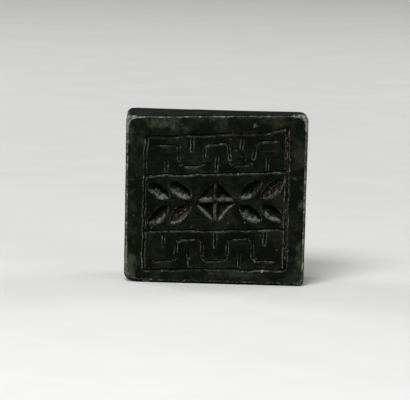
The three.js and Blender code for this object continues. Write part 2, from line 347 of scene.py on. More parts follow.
# Patches: the face corner that each is placed from, its place from there and its reach, both
# across, back and up in millimetres, the seed of its ragged outline, and its strength
AT_CORNER = (0.0, 0.0, 0.0)
WORN_TOP_CORNERS = (
    ("top_left", AT_CORNER, (1.8, 3.0, 4.6), 71, 1.0),
    ("top_right", AT_CORNER, (2.6, 1.6, 4.0), 73, 1.0),
)
WORN_BOTTOM_CORNERS = (
    ("bottom_left", AT_CORNER, (1.6, 1.4, 3.6), 75, 0.6),
    ("bottom_right", AT_CORNER, (1.8, 1.4, 1.6), 77, 0.6),
)
OLIVE_PATCHES = (
    ("bottom_left", (0.4, 0.0, 2.0), (1.35, 3.0, 3.2), 79, 1.0),
    ("bottom_right", (-0.5, 0.0, 4.6), (1.0, 2.0, 4.6), 85, 0.55),
    ("bottom_right", (-0.5, 0.0, 13.6), (0.8, 1.5, 0.8), 87, 0.7),
)
TEAL_PATCHES = (
    ("bottom_left", (19.6, 0.0, 0.9), (2.9, 2.0, 0.9), 89, 1.0),
    ("top_right", (-1.0, 0.0, -4.6), (1.0, 2.0, 1.5), 91, 0.55),
)
LEAF_GREEN_PATCHES = (
    ("top_left", (5.4, 0.0, -0.9), (3.2, 2.0, 1.1), 83, 1.0),
    ("top_left", (9.0, 0.0, -1.6), (2.4, 2.0, 0.8), 95, 0.5),
    ("top_left", (2.6, 2.0, 0.0), (2.2, 3.0, 1.0), 97, 0.6),
)
IRON_PATCHES = (
    ("top_right", (-4.4, 0.0, -1.3), (1.9, 1.0, 0.9), 81, 0.8),
    ("top_right", (-5.0, 0.0, -2.6), (0.9, 1.0, 0.3), 93, 1.0),
)

# Places on the printing face, in millimetres. A pair is where a zone starts and where it is full.
RIM_ZONE = (1.2, 1.6)
FOOT_ZONE = (1.4, 1.8)
DIRTY_FIELD = (2.7, 3.7)
# Middle of the carved field, and its rise for each millimetre to the right
FIELD_MIDDLE = 13.8
FIELD_RISE = 0.046
# The band lines and the fret, as distances from the field's middle and from its upright axis
ROWS_INNER = (4.2, 4.4)
ROWS_OUTER = (-10.6, -10.3)
ROWS_SIDE = (-11.2, -10.9)
RIGHT_BORDER = (10.2, 10.8)
BOTTOM_BORDER = (-3.7, -3.4)
# How far back from the face reach its flat, its rim, its rounded foot, the deepest cuts, the
# front's own wear, and the dirt that hides the gloss
FLAT_DEPTH, RIM_DEPTH, FOOT_DEPTH, CUT_DEPTH, FRONT_DEPTH, DIRT_DEPTH = 0.1, 0.6, 1.0, 1.5, 2.0, 3.0
# How far up from the table the side that it lies on may reach
UNDERSIDE = 0.2
# Rounds of smoothing that a narrow lip, a broad edge and a wide cut are measured against
FINE_ROUNDS = 8
BROAD_ROUNDS = 90
CUT_ROUNDS = 60
# Sideways wander of the cuts, broad and short, the crumbling of their lips, and pits, in mm
BROAD_WANDER = 0.15
SHORT_WANDER = 0.05
LIP_LOSS = 0.06
PIT_DEPTH = 0.02
# Every unevenness of the stone and the paste: its size in millimetres, its seed and its octaves
BROKEN, NICKS, DRIFT = (0.9, 3, 3), (0.35, 5, 2), (4.5, 7, 2)
CHIPPING, SWAY, PITS, CHATTER = (2.3, 11, 2), (5.0, 21, 2), (0.5, 27, 2), (0.42, 33, 2)
STAINS, CLOUDS, GLINTS = (0.9, 41, 3), (3.2, 61, 3), (0.8, 99, 2)
WANDER_SIZES, WANDER_SEEDS = (2.6, 0.7), ((0, 101, 105), (2, 103, 107))
PATCH_SIZE, PATCH_OCTAVES = 0.9, 3
CRUMBS, BARE_SPOTS = (0.22, 51, 2), (0.75, 57, 3)
# Fewest points of the finished stone, and how strong a mask keeps the faces under it and by it
LEAST_STONE_POINTS = 5000
WORKED, NEAR_WORKED = 0.04, 0.02


def over_ornament(points):
    """1 over the carved field of the printing face, and 0 by its rims and on the other sides."""
    return (
        between(points[:, 0], LOW[0] + RIM_ZONE[0], LOW[0] + RIM_ZONE[1])
        * between(-points[:, 0], -HIGH[0] + RIM_ZONE[0], -HIGH[0] + RIM_ZONE[1])
        * between(points[:, 2], LOW[2] + FOOT_ZONE[0], LOW[2] + FOOT_ZONE[1])
        * between(-points[:, 2], -HIGH[2] + RIM_ZONE[0], -HIGH[2] + RIM_ZONE[1])
        * (points[:, 1] < FACE_Y + CUT_DEPTH)
    )


def wander(points):
    """How far the cuts stray sideways at each point, as a hand-held graver lets them."""
    held = over_ornament(points)
    shift = np.zeros_like(points)
    for axis, broad_seed, short_seed in WANDER_SEEDS:
        broad = BROAD_WANDER * grain(points, WANDER_SIZES[0], broad_seed, 2)
        shift[:, axis] = held * (broad + SHORT_WANDER * grain(points, WANDER_SIZES[1], short_seed))
    return shift


def knocks_along(way, knocks):
    """How strongly the knocks of one edge mark each point, from its place along the edge."""
    mask = np.zeros(len(way))
    for at, reach in knocks:
        mask = np.maximum(mask, 1 - between(np.abs(way - at), 0.4 * reach, reach))
    return mask


def scuffed(points, nicks):
    """How strongly the small scuffs mark each point of the printing face."""
    mask = np.zeros(len(points))
    for across, up, reach, pale in FACE_SCUFFS:
        away = np.hypot(points[:, 0] - across, points[:, 2] - up) * (1 + 0.5 * nicks)
        mask = np.maximum(mask, pale * (1 - between(away, 0.3 * reach, reach)))
    return mask * (points[:, 1] < FACE_Y + RIM_DEPTH)


def distance_to_boxes(points, nodes):
    """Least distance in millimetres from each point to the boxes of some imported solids."""
    least = np.full(len(points), np.inf)
    for node in nodes:
        low, high = (np.array(corner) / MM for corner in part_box(node))
        outside = np.maximum(np.maximum(low - points, points - high), 0.0)
        least = np.minimum(least, np.sqrt((outside ** 2).sum(axis=1)))
    return least


def face_corner(points, across, up):
    """The outermost point of the printing face towards one of its corners."""
    rim = points[points[:, 1] < FACE_Y + RIM_DEPTH]
    return rim[np.argmax(across * rim[:, 0] + up * rim[:, 2])]


def patch(points, centre, reach, seed, ragged):
    """1 near a point, falling off within a reach per axis, with a ragged outline."""
    away = np.sqrt((((points - centre) / np.array(reach)) ** 2).sum(axis=1))
    return between(-away - ragged * grain(points, PATCH_SIZE, seed, PATCH_OCTAVES), -1.15, -0.45)


class Surface:
    """The points of the dense stone before it is worn, and what each of them is part of."""

    def __init__(self, mesh, settings):
        points = self.points = read_points(mesh)
        normals = self.normals = read_normals(mesh)
        near = self.near = Neighbours(mesh)
        self.up = normals[:, 2]
        # How far each point is from the nearest rim of the printing face
        self.rim_way = np.minimum.reduce([
            points[:, 0] - LOW[0], HIGH[0] - points[:, 0],
            points[:, 2] - LOW[2], HIGH[2] - points[:, 2],
        ])

        # How far each point stands out from its smoothed surroundings, narrow and broad
        fine = near.smooth(points, FINE_ROUNDS)
        broad = near.smooth(fine, BROAD_ROUNDS - FINE_ROUNDS)
        fine_span = 0.5 * settings.stone_detail * math.sqrt(FINE_ROUNDS)
        broad_span = 0.5 * settings.stone_detail * math.sqrt(BROAD_ROUNDS)
        sharp = ((points - fine) * normals).sum(axis=1) / fine_span
        self.bold = ((points - broad) * normals).sum(axis=1) / broad_span

        self.inside = over_ornament(points)
        self.depth = (points[:, 1] - FACE_Y) * self.inside
        self.in_cut = between(self.depth, 0.03, 0.14)
        self.wide_cut = between(near.smooth(self.depth, CUT_ROUNDS), 0.10, 0.24)
        self.on_face = between(-normals[:, 1], 0.8, 0.97) * (points[:, 1] < FACE_Y + FLAT_DEPTH)
        self.front = points[:, 1] < FACE_Y + FRONT_DEPTH
        self.outer = (1 - self.in_cut) * (1 - self.on_face * self.inside)
        lip = between(sharp, 0.05, 0.13) * self.inside * (1 - between(self.depth, 0.16, 0.3))
        # Lips that face down are left out, so they neither crumble nor turn pale; the pale line on
        # the others is partly crushed stone and partly a painted highlight
        self.lip = lip * between(self.up, -0.45, -0.05)

        # Unevenness of three sizes, for chips, wear and stains alike
        self.broken = grain(points, *BROKEN)
        self.nicks = grain(points, *NICKS)
        self.drift = grain(points, *DRIFT)
        chipped = between(grain(points, *CHIPPING) + 0.35 * self.nicks, 0.42, 0.75)
        self.chips = chipped * between(self.bold, 0.08, 0.26)

        self.corners = {
            "top_left": face_corner(points, -1, 1), "top_right": face_corner(points, 1, 1),
            "bottom_left": face_corner(points, -1, -1), "bottom_right": face_corner(points, 1, -1),
        }
        self.knocks = np.maximum(
            self.patches(WORN_TOP_CORNERS, 0.2), self.patches(WORN_BOTTOM_CORNERS)
        )

    def patches(self, places, ragged=0.35):
        """The strongest of some patches at each point."""
        masks = []
        for corner, offset, reach, seed, strength in places:
            centre = self.corners[corner] + np.array(offset)
            masks.append(strength * patch(self.points, centre, reach, seed, ragged))
        return np.maximum.reduce(masks)

    def crest(self):
        """The crest of the edges, where the surface turns halfway from one side to the next."""
        points, normals, up = self.points, self.normals, self.up
        aside, facing = np.abs(normals[:, 0]), np.abs(normals[:, 1])
        turned = 1 - np.abs(normals).max(axis=1)
        crest = np.where(self.front, between(turned, 0.07, 0.17), between(turned, 0.13, 0.25))
        crest = crest * between(self.bold, 0.07, 0.14) * self.outer
        sideways = between(aside, 0.30, 0.42) * between(facing, 0.30, 0.42)
        crest = np.maximum(crest, sideways * self.outer * (points[:, 1] < FACE_Y + CUT_DEPTH))
        # Along the bottom the crest lies at the face, because the edge below it is well rounded
        foot = between(-normals[:, 1], 0.80, 0.88) * between(normals[:, 1], -0.985, -0.965)
        foot = foot * between(-up, 0.1, 0.2) * (points[:, 1] < FACE_Y + FOOT_DEPTH) * self.outer
        return np.maximum(crest * between(up, -0.62, -0.50), foot)


def worn_points(s, settings):
    """Where the points of the stone lie once it is cut by hand, rubbed down, chipped and worn."""
    points, normals = s.points, s.normals
    # Worn outer edges, chips where the noise runs high, and crumbled lips of the cuts
    edge = between(s.bold, 0.13, 0.26) * s.outer
    loss = settings.edge_loss * edge * (0.55 + 0.45 * s.broken + 0.5 * s.knocks)
    loss += settings.chip_loss * s.chips * s.outer * (0.7 + 0.3 * s.nicks)
    loss += LIP_LOSS * s.lip * between(s.nicks, -0.2, 0.6)

    # Rubbed-down sides, and rough floors in the cuts
    sway = settings.unevenness * grain(points, *SWAY) * (1 - 0.6 * s.on_face)
    pits = PIT_DEPTH * between(grain(points, *PITS), 0.55, 0.85)
    chatter = grain(points * np.array([1.0, 1.0, 1.5]), *CHATTER)
    floor = settings.cut_roughness * s.in_cut * (0.5 + 1.1 * between(s.depth, 0.42, 0.62)) * chatter

    outward = floor + sway * (1 - s.in_cut) - loss - pits
    moved = points + normals * outward[:, None] + wander(points)
    # The side that it lies on stays flat, so that it rests on the table
    underside = between(-normals[:, 2], 0.8, 0.95) * (points[:, 2] < LOW[2] + UNDERSIDE)
    moved[:, 2] += (points[:, 2] - moved[:, 2]) * underside
    return moved


def bruised_and_lit_cuts(s):
    """Crushed pale stone on the lower walls of the cuts and at their lips, as two masks, with
    painted light where the walls and lips face up.
    """
    across, height = s.points[:, 0], s.points[:, 2]
    worn_depth = 0.18 + s.wide_cut * (0.34 + 0.22 * s.drift)
    shallow = 1 - between(s.depth - worn_depth, -0.12, 0.30)
    # The band lines and the fret are brighter than the border
    from_middle = np.abs(height - FIELD_MIDDLE - FIELD_RISE * across)
    rows = between(from_middle, *ROWS_INNER) * between(-from_middle, *ROWS_OUTER)
    rows = rows * between(-np.abs(across), *ROWS_SIDE)
    narrow = 0.40 + 0.42 * rows
    # Pale on walls that face up, fading deeper in: partly crushed stone and partly painted light
    # from above
    bruise_and_light = s.in_cut * between(s.up, 0.10, 0.6) * (0.10 + 0.90 * shallow)
    bruise_and_light = bruise_and_light * (narrow + (1 - narrow) * s.wide_cut)
    even = 0.60 + 0.14 * rows * (1 - s.wide_cut)
    bruise_and_light = bruise_and_light * (even + (1 - even) * between(s.nicks + 0.5 * s.broken, -0.45, 0.45))
    bruise_and_light = bruise_and_light * (even + (1 - even) * between(s.drift + 0.6 * s.broken, -0.6, 0.6))
    lips_and_highlight = s.near.smooth(s.lip, 2) * (0.40 + 0.60 * between(s.broken + 0.6 * s.drift, -0.4, 0.4))
    # The right border and the right end of the bottom border are the most crushed
    by_right = between(across, *RIGHT_BORDER) * (0.6 + 0.4 * between(-height, -20.0, -14.0))
    by_foot = between(across, 2.5, 6.0) * between(-height, *BOTTOM_BORDER)
    bruise_and_light = np.maximum(bruise_and_light, lips_and_highlight * np.maximum(by_right, by_foot))
    return s.near.smooth(bruise_and_light, 1), lips_and_highlight


def edge_marks(s):
    """A thin bright line on the edges, broken into dots, with scuffs on the worn corners: worn pale
    stone and a painted highlight along the crest, with painted glints on the lips.
    """
    points, up, sideways = s.points, s.up, s.normals[:, 0]
    knocked = np.maximum.reduce([
        knocks_along(points[:, 0], TOP_KNOCKS) * (up > 0.25),
        knocks_along(points[:, 2], LEFT_KNOCKS) * (sideways < -0.25),
        knocks_along(points[:, 2], RIGHT_KNOCKS) * (sideways > 0.25),
        0.45 * knocks_along(points[:, 0], BOTTOM_KNOCKS) * (up < -0.08),
    ]) * s.front * (0.85 + 0.15 * s.nicks)
    along = between(s.broken + 0.9 * s.nicks + 0.5 * s.drift, -0.05, 0.75)
    along = along * np.where(s.front, 0.40, 1.0)
    along = along * (1 - 0.5 * between(-up, 0.1, 0.3))
    # The painted line is fainter on edges that face up, down or to the left
    faint = 0.40 - 0.06 * between(up, 0.2, 0.5) - 0.18 * between(-up, 0.1, 0.3)
    faint = faint - 0.06 * between(-sideways, 0.2, 0.5)
    faint = np.where(s.front, faint, 0.22)
    marks = s.crest() * np.maximum(faint + (1 - faint) * along, knocked)
    glint = between(grain(points, *GLINTS), 0.55, 0.80) * s.near.smooth(s.lip, 1)
    marks = np.maximum.reduce([marks, 0.35 * glint, scuffed(points, s.nicks)])
    rounded = between(s.bold, 0.07, 0.20) * s.outer
    scuffs = 0.45 + 0.30 * between(s.nicks + s.broken, -0.6, 0.3)
    marks = np.maximum(marks, rounded * s.knocks * scuffs)
    return np.maximum(marks, 0.8 * s.chips * s.outer * between(s.nicks, -0.6, 0.3))


def stone_masks(s):
    """Where each effect of the stone's material shows."""
    points, whole = s.points, 1 - s.in_cut
    bruise_and_light, lips_and_highlight = bruised_and_lit_cuts(s)
    rim_clouds = between(-s.rim_way, -3.0, -0.3) * between(grain(points, *CLOUDS), 0.0, 0.55) * 0.42
    # The worked field is dirty, and the top side gets painted shade that darkens it
    dirty = 0.83 * between(s.rim_way, *DIRTY_FIELD) * s.inside * (s.depth < CUT_DEPTH)
    rim = 1 - between(s.rim_way, 0.6, 1.2) * s.inside
    painted_top_shade = 0.75 * between(s.up, 0.5, 0.9) * whole * rim
    reach = 0.45 + 0.9 * s.wide_cut * between(points[:, 0], -3.0, 1.0)
    stain = np.exp(-distance_to_boxes(points, PASTE_NODES) / reach)
    stain = stain * between(grain(points, *STAINS), -0.45, 0.35)
    facing = between(-s.normals[:, 1], 0.6, 0.95) * (points[:, 1] < FACE_Y + DIRT_DEPTH)
    return {
        "edge_wear_and_highlight": edge_marks(s),
        "bruise_and_lit_cut_walls": bruise_and_light,
        "cut_lip_and_highlight": lips_and_highlight,
        # Painted shade in the cuts, strongest on their downward walls
        "painted_cut_shade": s.in_cut * (0.55 + 0.45 * between(-s.up, -0.1, 0.4)),
        "field_dirt_and_top_shade": np.maximum(dirty, painted_top_shade),
        "olive_cloud": np.maximum(rim_clouds, s.patches(OLIVE_PATCHES)) * whole,
        "teal_cloud": s.patches(TEAL_PATCHES) * whole,
        "leaf_green_cloud": s.patches(LEAF_GREEN_PATCHES) * whole,
        "polished_side": 1 - facing,
        "paste_stain": stain * np.maximum(s.in_cut, 0.75),
        "iron_stain": s.patches(IRON_PATCHES),
    }


def settle(dense, masks, most):
    """Fewer faces where the stone is plain, with the masks carried over."""
    share = min(1.0, most / (2.0 * len(dense.polygons)))
    worked = np.maximum.reduce([masks["painted_cut_shade"], masks["cut_lip_and_highlight"], masks["edge_wear_and_highlight"]]) > WORKED
    plain = Neighbours(dense).smooth(worked.astype(float), 2) < NEAR_WORKED
    light = changed_by(dense, "DECIMATE", chosen=plain, ratio=share)
    tree = KDTree(len(dense.vertices))
    for index, vertex in enumerate(dense.vertices):
        tree.insert(vertex.co, index)
    tree.balance()
    nearest = np.array([tree.find(vertex.co)[1] for vertex in light.vertices])
    for name, values in masks.items():
        write_mask(light, name, values[nearest])
    return light


class SEAL_OT_stone(bpy.types.Operator):
    """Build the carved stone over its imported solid"""

    bl_idname = "seal.stone"
    bl_label = "Carved stone"

    def execute(self, context):
        settings = context.scene.seal_stamp
        dense = even_copy("seal_stone", settings.stone_detail)
        surface = Surface(dense, settings)
        write_points(dense, worn_points(surface, settings))
        light = settle(dense, stone_masks(surface), settings.stone_faces)
        piece = add_piece("carved_stone", light, green_stone(settings), "seal_stone")
        if len(piece.data.vertices) < LEAST_STONE_POINTS:
            raise RuntimeError("the carved stone lost its surface")
        return {"FINISHED"}


# The dried paste

def crumble(mesh, node):
    """Breaks the paste into crumbs that cling to the floor of its cut."""
    points = read_points(mesh)
    normals = read_normals(mesh)
    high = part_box(node)[1].y / MM
    outward = between(-normals[:, 1], 0.1, 0.7)
    bare = between(grain(points, *BARE_SPOTS), -0.15, 0.30)
    sunk = np.minimum(high - points[:, 1], 0.5) + 0.12
    shift = wander(points)
    points[:, 1] += outward * bare * sunk
    write_points(mesh, points + shift + normals * (0.06 * grain(points, *CRUMBS))[:, None])


class SEAL_OT_paste(bpy.types.Operator):
    """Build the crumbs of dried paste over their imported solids"""

    bl_idname = "seal.paste"
    bl_label = "Dried paste"

    def execute(self, context):
        settings = context.scene.seal_stamp
        material = dried_paste(settings)
        for node in PASTE_NODES:
            mesh = even_copy(node, settings.paste_detail)
            crumble(mesh, node)
            name = node.replace("paste_", "crumbs_")
            piece = add_piece(name, mesh, material, node)
            if not piece.data.polygons:
                raise RuntimeError(f"{node} lost its surface")
        return {"FINISHED"}


# Materials

# How the shader nodes are laid out in the editor
NODES_PER_ROW, NODE_WIDTH, NODE_HEIGHT = 12, 190, 260
ROW_START, ROW_TOP = -1200, 400
# Noise scales of the clouds and the flecks in the stone
CLOUD_SCALE, FLECK_SCALE = 300.0, 1100.0
# Each cloudy output: shift, times the cloud scale, detail, roughness, distortion, step's ends
MOTTLE = {
    "Clouds": ((0.0, 0.0, 0.0), 1.0, 7.0, 0.68, 0.7, 0.42, 0.70),
    "Patches": ((0.37, 0.11, 0.23), 1.3, 5.0, 0.6, 1.0, 0.55, 0.68),
    "Shadows": ((0.13, 0.41, 0.07), 0.8, 5.0, 0.6, 0.6, 0.50, 0.66),
}
# The two directions of the rubbing: turn about the depth axis, and stretch of the noise
RUBBINGS = ((0.35, (120.0, 120.0, 5200.0)), (-0.9, (90.0, 90.0, 4300.0)))
# How each mask is broken up in the material: noise scale, and how far the breaks cut in
BREAKS = {
    "edge_wear_and_highlight": (2600.0, 0.30), "bruise_and_lit_cut_walls": (2800.0, 0.34), "cut_lip_and_highlight": (3000.0, 0.20),
    "paste_stain": (2200.0, 0.35), "olive_cloud": (900.0, 0.32), "leaf_green_cloud": (1100.0, 0.40),
    "teal_cloud": (1500.0, 0.35), "iron_stain": (1300.0, 0.25),
}
# Distances in metres that the bumps stand up
STONE_BUMP, PASTE_BUMP = 0.00005, 0.00006


class Nodes:
    """A short way to place and join shader nodes in one tree."""

    def __init__(self, tree):
        self.tree = tree
        self.made = 0

    def add(self, kind, inputs=None, **settings):
        node = self.tree.nodes.new(kind)
        row, column = divmod(self.made, NODES_PER_ROW)
        node.location = (column * NODE_WIDTH + ROW_START, ROW_TOP - row * NODE_HEIGHT)
        self.made += 1
        for key, value in settings.items():
            setattr(node, key, value)
        for key, value in (inputs or {}).items():
            self.feed(value, node.inputs[key])
        return node

    def feed(self, value, socket):
        if isinstance(value, bpy.types.NodeSocket):
            self.tree.links.new(value, socket)
        else:
            socket.default_value = value

    def maths(self, operation, first, second=0.0, clamp=False):
        node = self.add("ShaderNodeMath", operation=operation, use_clamp=clamp)
        self.feed(first, node.inputs[0])
        self.feed(second, node.inputs[1])
        return node.outputs[0]

    def step(self, value, low, high, out_low=0.0, out_high=1.0):
        node = self.add("ShaderNodeMapRange", interpolation_type="SMOOTHSTEP", inputs={
            "Value": value, "From Min": low, "From Max": high,
            "To Min": out_low, "To Max": out_high,
        })
        return node.outputs["Result"]

    def blend(self, share, first, second):
        node = self.add("ShaderNodeMix", data_type="RGBA")
        self.feed(share, node.inputs[0])
        for value, socket in ((first, node.inputs[6]), (second, node.inputs[7])):
            if isinstance(value, bpy.types.NodeSocket):
                self.tree.links.new(value, socket)
            else:
                socket.default_value = (*value[:3], 1.0)
        return node.outputs[2]

    def noise(self, place, scale, detail=4.0, roughness=0.6, distortion=0.0):
        node = self.add("ShaderNodeTexNoise", inputs={
            "Vector": place, "Scale": scale, "Detail": detail, "Roughness": roughness,
            "Distortion": distortion,
        })
        return node.outputs["Fac"]

    def mask(self, name):
        node = self.add("ShaderNodeAttribute", attribute_name=name, attribute_type="GEOMETRY")
        return node.outputs["Fac"]


def new_group(name, inputs, outputs):
    """An empty node group with named sockets, and its nodes."""
    tree = bpy.data.node_groups.new(name, "ShaderNodeTree")
    for label, kind, value in inputs:
        socket = tree.interface.new_socket(label, in_out="INPUT", socket_type=kind)
        if value is not None:
            socket.default_value = value
    for label, kind in outputs:
        tree.interface.new_socket(label, in_out="OUTPUT", socket_type=kind)
    nodes = Nodes(tree)
    start = nodes.add("NodeGroupInput")
    end = nodes.add("NodeGroupOutput")
    return tree, nodes, start, end


def mottle_group():
    """Clouds, patches, flecks and fine grain of the stone, as masks."""
    tree, n, start, end = new_group("Stone mottle", [
        ("Place", "NodeSocketVector", None),
        ("Cloud Scale", "NodeSocketFloat", CLOUD_SCALE),
        ("Fleck Scale", "NodeSocketFloat", FLECK_SCALE),
    ], [
        (label, "NodeSocketFloat") for label in (*MOTTLE, "Flecks", "Grain")
    ])
    place = start.outputs["Place"]
    scale = start.outputs["Cloud Scale"]
    for output, (shift, times, detail, roughness, distortion, low, high) in MOTTLE.items():
        moved = n.add("ShaderNodeVectorMath", operation="ADD", inputs={0: place, 1: shift})
        times_scale = n.maths("MULTIPLY", scale, times)
        cloud = n.noise(moved.outputs[0], times_scale, detail, roughness, distortion)
        n.feed(n.step(cloud, low, high), end.inputs[output])

    # Flecks: few of the cells are picked, each with a size and a paleness of its own
    stray = n.add("ShaderNodeTexNoise", inputs={"Vector": place, "Scale": 2600.0, "Detail": 3.0})
    push = n.add("ShaderNodeVectorMath", operation="SCALE", inputs={
        0: stray.outputs["Color"], "Scale": 0.0007,
    })
    ragged = n.add("ShaderNodeVectorMath", operation="ADD", inputs={0: place, 1: push.outputs[0]})
    cells = n.add("ShaderNodeTexVoronoi", feature="F1", inputs={
        "Vector": ragged.outputs[0], "Scale": start.outputs["Fleck Scale"], "Randomness": 1.0,
    })
    chosen = n.add("ShaderNodeSeparateColor", inputs={"Color": cells.outputs["Color"]})
    size = n.step(n.maths("POWER", chosen.outputs[1], 2.0), 0.0, 1.0, 0.07, 0.32)
    dot = n.step(n.maths("DIVIDE", cells.outputs["Distance"], size), 1.0, 0.35)
    picked = n.step(chosen.outputs[0], 0.80, 0.97)
    pale = n.step(chosen.outputs[2], 0.0, 0.9, 0.25, 1.0)
    n.feed(n.maths("MULTIPLY", dot, n.maths("MULTIPLY", picked, pale)), end.inputs["Flecks"])
    n.feed(n.noise(place, n.maths("MULTIPLY", scale, 13.0), 4.0, 0.75), end.inputs["Grain"])
    return tree


def scratch_group():
    """Fine hairlines left by rubbing down, in two directions, as a mask."""
    tree, n, start, end = new_group("Rubbing scratches", [
        ("Place", "NodeSocketVector", None),
        ("Scale", "NodeSocketFloat", 1.0),
    ], [("Scratches", "NodeSocketFloat")])
    marks = []
    for turn, stretch in RUBBINGS:
        mapped = n.add("ShaderNodeMapping", inputs={
            "Vector": start.outputs["Place"], "Rotation": (0.0, turn, 0.0), "Scale": stretch,
        })
        streak = n.noise(mapped.outputs[0], start.outputs["Scale"], 2.0, 0.5)
        marks.append(n.step(streak, 0.70, 0.80))
    n.feed(n.maths("MAXIMUM", marks[0], marks[1]), end.inputs["Scratches"])
    return tree


def wear_group():
    """Breaks a smooth mask, of wear, clouds, stains or painted highlights, into broken patches."""
    tree, n, start, end = new_group("Broken wear", [
        ("Place", "NodeSocketVector", None),
        ("Mask", "NodeSocketFloat", 0.0),
        ("Scale", "NodeSocketFloat", 2600.0),
        ("Break", "NodeSocketFloat", 0.4),
    ], [("Wear", "NodeSocketFloat")])
    broken = n.noise(start.outputs["Place"], start.outputs["Scale"], 5.0, 0.7)
    push = n.maths("MULTIPLY", n.step(broken, 0.3, 0.7, -1.0, 0.6), start.outputs["Break"])
    shaped = n.step(n.maths("ADD", start.outputs["Mask"], push), 0.05, 0.9)
    held = n.maths("MULTIPLY", shaped, n.step(start.outputs["Mask"], 0.0, 0.15), clamp=True)
    n.feed(held, end.inputs["Wear"])
    return tree


def shared_group(name, make):
    """The node group of that name, made at its first use."""
    return bpy.data.node_groups.get(name) or make()


def new_material(name):
    material = bpy.data.materials.new(name)
    material.use_nodes = True
    material.node_tree.nodes.clear()
    return material, Nodes(material.node_tree)


def green_stone(settings):
    """Mottled dark stone, with clouds, dirt, stains and pale crushed marks where the masks say."""
    material, n = new_material("green_stone")
    place = n.add("ShaderNodeTexCoord").outputs["Object"]
    mottle = n.add("ShaderNodeGroup", node_tree=shared_group("Stone mottle", mottle_group))
    n.feed(place, mottle.inputs["Place"])
    mottle.inputs["Cloud Scale"].default_value = CLOUD_SCALE
    mottle.inputs["Fleck Scale"].default_value = FLECK_SCALE
    scratches = n.add("ShaderNodeGroup", node_tree=shared_group("Rubbing scratches", scratch_group))
    n.feed(place, scratches.inputs["Place"])

    def share(value, most):
        return n.maths("MULTIPLY", value, most)

    def layered(below, layers):
        for mask, most, tint in layers:
            below = n.blend(share(mask, most), below, tint)
        return below

    worn = {}
    for mask, (scale, broken) in BREAKS.items():
        group = n.add("ShaderNodeGroup", node_tree=shared_group("Broken wear", wear_group))
        n.feed(place, group.inputs["Place"])
        n.feed(n.mask(mask), group.inputs["Mask"])
        group.inputs["Scale"].default_value = scale
        group.inputs["Break"].default_value = broken
        worn[mask] = group.outputs["Wear"]
    edge, bruise_and_light, stain = worn["edge_wear_and_highlight"], worn["bruise_and_lit_cut_walls"], worn["paste_stain"]
    cut_shade = n.mask("painted_cut_shade")

    # The stone itself: dark ground, clouds and patches, each with the most that it covers
    colour = n.blend(mottle.outputs["Clouds"], settings.dark_stone, settings.light_stone)
    colour = layered(colour, (
        (mottle.outputs["Patches"], 0.6, settings.teal_stone),
        (mottle.outputs["Shadows"], 0.6, settings.brown_stone),
        (worn["teal_cloud"], 0.8, settings.frosted_stone),
        (worn["olive_cloud"], 0.85, settings.olive_stone),
        (worn["leaf_green_cloud"], 0.8, settings.leaf_green_stone),
        (n.mask("polished_side"), 0.28, settings.deep_stone),
        (worn["iron_stain"], 0.7, settings.iron_stain),
    ))
    # Grain, the dirty worked field, and the painted shade on the top side
    tone = n.maths("MULTIPLY", n.step(mottle.outputs["Grain"], 0.3, 0.7, 0.6, 1.45),
                   n.step(n.mask("field_dirt_and_top_shade"), 0.0, 1.0, 1.05, 0.70))
    shaded = n.add("ShaderNodeVectorMath", operation="SCALE")
    n.feed(colour, shaded.inputs[0])
    n.feed(tone, shaded.inputs["Scale"])

    # Scratches and flecks, the painted shade in the cuts, what the paste left, and the crushed
    # walls, lips and edges, partly painted highlights
    pale = n.blend(stain, settings.bruised_stone_and_highlight, settings.stained_stone)
    colour = layered(shaded.outputs[0], (
        (scratches.outputs["Scratches"], 0.10, settings.bruised_stone_and_highlight),
        (mottle.outputs["Flecks"], 0.55, settings.bruised_stone_and_highlight),
        (cut_shade, 0.75, tuple(0.55 * part for part in settings.dark_stone)),
        (stain, 0.55, settings.paste_colour),
        (bruise_and_light, 0.40, pale),
        (worn["cut_lip_and_highlight"], 0.13, pale),
        (edge, 0.85, settings.bruised_stone_and_highlight),
    ))

    dull = n.maths("MAXIMUM", share(cut_shade, 0.8), n.maths("MAXIMUM", edge, bruise_and_light))
    polish = n.step(n.noise(place, 900.0, 4.0, 0.6), 0.3, 0.75, 0.62, 0.82)
    roughness = n.add("ShaderNodeMix", data_type="FLOAT", inputs={0: dull, 2: polish, 3: 0.9})

    fine = n.noise(place, 5200.0, 4.0, 0.65)
    broad = n.noise(place, 1500.0, 3.0, 0.5)
    height = n.maths("ADD", n.maths("MULTIPLY", fine, n.step(dull, 0.0, 1.0, 0.35, 1.0)),
                     n.maths("MULTIPLY", broad, 0.5))
    height = n.maths("SUBTRACT", height, share(scratches.outputs["Scratches"], 0.4))
    bump = n.add("ShaderNodeBump", inputs={"Height": height})
    bump.inputs["Strength"].default_value = 0.5
    bump.inputs["Distance"].default_value = STONE_BUMP

    surface = n.add("ShaderNodeBsdfPrincipled", inputs={
        "Base Color": colour, "Roughness": roughness.outputs[0], "Normal": bump.outputs["Normal"],
    })
    surface.inputs["Specular IOR Level"].default_value = 0.03
    end = n.add("ShaderNodeOutputMaterial")
    n.feed(surface.outputs["BSDF"], end.inputs["Surface"])
    return material


